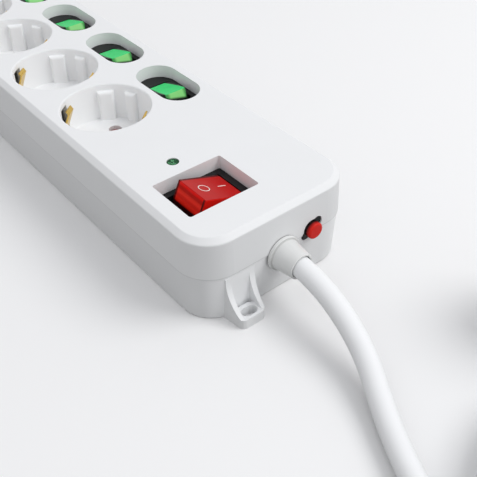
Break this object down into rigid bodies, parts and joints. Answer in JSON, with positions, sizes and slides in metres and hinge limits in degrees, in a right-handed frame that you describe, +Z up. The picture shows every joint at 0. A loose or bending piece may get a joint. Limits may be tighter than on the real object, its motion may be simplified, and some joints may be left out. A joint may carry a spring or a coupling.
{
  "type": "switched power strip",
  "caption": "Long socket strip with round earthed wells, a lit rocker beside each, a main rocker, indicator, reset button, wall lugs and a corded plug.",
  "frame": {"origin": "centre of the casing's underside, on the surface it lies on", "axes": "+X along the casing towards the cord gland, +Y across it towards the outlet switches, +Z up out of the outlets"},
  "size_m": [0.4972, 0.1226, 0.0575],
  "materials": {
    "shell_cover": "satin white moulding",
    "shell_base": "satin white moulding",
    "screw_steel": "zinc-plated steel",
    "switch_black": "black moulding",
    "rocker_red": "translucent red, lit from inside",
    "tinned_brass": "tinned brass",
    "lamp_glass": "clear glass",
    "rocker_green": "translucent green, lit from inside",
    "shutter_pink": "dusty pink moulding",
    "carrier_grey": "light grey moulding",
    "contact_brass": "bare spring brass",
    "indicator_green": "dark green light pipe",
    "led_green": "clear green lamp",
    "board_green": "printed circuit board",
    "varistor_blue": "blue coated discs",
    "capacitor_grey": "grey box",
    "breaker_black": "black moulding",
    "button_red": "matte red moulding",
    "gland_white": "warm white soft moulding",
    "cord_white": "white matte sheath",
    "core_brown": "brown insulation",
    "core_blue": "blue insulation",
    "core_earth": "green and yellow insulation",
    "plug_white": "white moulding",
    "pin_nickel": "nickel-plated brass"
  },
  "bodies": {
    "casing": {"top_cover": "shell_cover", "base_tray": "shell_base", "casing_screws": "screw_steel", "main_switch_body": "switch_black", "main_switch_blades": "tinned_brass", "main_switch_lamp": "lamp_glass", "outlet_switch_body_1": "switch_black", "outlet_switch_body_2": "switch_black", "outlet_switch_body_3": "switch_black", "outlet_switch_body_4": "switch_black", "outlet_switch_blades": "tinned_brass", "outlet_switch_lamps": "lamp_glass", "contact_carrier_1": "carrier_grey", "contact_carrier_2": "carrier_grey", "contact_carrier_3": "carrier_grey", "contact_carrier_4": "carrier_grey", "line_contact_1": "contact_brass", "line_contact_2": "contact_brass", "line_contact_3": "contact_brass", "line_contact_4": "contact_brass", "neutral_bus": "contact_brass", "line_bus": "contact_brass", "earth_bus": "contact_brass", "indicator_lens": "indicator_green", "indicator_led": "led_green", "protection_board": "board_green", "varistors": "varistor_blue", "film_capacitor": "capacitor_grey", "breaker_body": "breaker_black", "breaker_blades": "tinned_brass", "cable_gland": "gland_white", "cord_sheath_end": "cord_white", "clamp_saddle": "carrier_grey", "clamp_screws": "screw_steel", "line_wires": "core_brown", "neutral_wires": "core_blue", "earth_wire": "core_earth", "cord_lead": "cord_white", "cord_coil": "cord_white", "plug_body": "plug_white", "plug_pins": "pin_nickel", "plug_earth_strips": "contact_brass"},
    "main_rocker": {"main_rocker": "rocker_red"},
    "outlet_rocker_1": {"outlet_rocker_1": "rocker_green"},
    "outlet_rocker_2": {"outlet_rocker_2": "rocker_green"},
    "outlet_rocker_3": {"outlet_rocker_3": "rocker_green"},
    "outlet_rocker_4": {"outlet_rocker_4": "rocker_green"},
    "shutter_1": {"shutter_1": "shutter_pink"},
    "shutter_2": {"shutter_2": "shutter_pink"},
    "shutter_3": {"shutter_3": "shutter_pink"},
    "shutter_4": {"shutter_4": "shutter_pink"},
    "reset_button": {"reset_button": "button_red"}
  },
  "joints": [
    {"name": "main_rocker_swing", "type": "hinge", "parent": "casing", "child": "main_rocker", "pos_m": [0.1093, -0.01247, 0.0282], "axis": [1, 0, 0], "range_deg": [0, 38.14]},
    {"name": "outlet_rocker_1_swing", "type": "hinge", "parent": "casing", "child": "outlet_rocker_1", "pos_m": [0.0348, 0.0218, 0.0287], "axis": [0, 1, 0], "range_deg": [0, 28]},
    {"name": "outlet_rocker_2_swing", "type": "hinge", "parent": "casing", "child": "outlet_rocker_2", "pos_m": [-0.0112, 0.0218, 0.0287], "axis": [0, 1, 0], "range_deg": [0, 28]},
    {"name": "outlet_rocker_3_swing", "type": "hinge", "parent": "casing", "child": "outlet_rocker_3", "pos_m": [-0.0572, 0.0218, 0.0287], "axis": [0, 1, 0], "range_deg": [0, 28]},
    {"name": "outlet_rocker_4_swing", "type": "hinge", "parent": "casing", "child": "outlet_rocker_4", "pos_m": [-0.1032, 0.0218, 0.0287], "axis": [0, 1, 0], "range_deg": [0, 28]},
    {"name": "shutter_1_turn", "type": "hinge", "parent": "casing", "child": "shutter_1", "pos_m": [0.0348, -0.0113, 0.019], "axis": [0, 0, 1], "range_deg": [0, 40], "stiffness_Nm_per_rad": 0.002},
    {"name": "shutter_2_turn", "type": "hinge", "parent": "casing", "child": "shutter_2", "pos_m": [-0.0112, -0.0113, 0.019], "axis": [0, 0, 1], "range_deg": [0, 40], "stiffness_Nm_per_rad": 0.002},
    {"name": "shutter_3_turn", "type": "hinge", "parent": "casing", "child": "shutter_3", "pos_m": [-0.0572, -0.0113, 0.019], "axis": [0, 0, 1], "range_deg": [0, 40], "stiffness_Nm_per_rad": 0.002},
    {"name": "shutter_4_turn", "type": "hinge", "parent": "casing", "child": "shutter_4", "pos_m": [-0.1032, -0.0113, 0.019], "axis": [0, 0, 1], "range_deg": [0, 40], "stiffness_Nm_per_rad": 0.002},
    {"name": "reset_button_slide", "type": "slide", "parent": "casing", "child": "reset_button", "axis": [1, 0, 0], "range_m": [-0.0012, 0.003], "stiffness_N_per_m": 200}
  ]
}
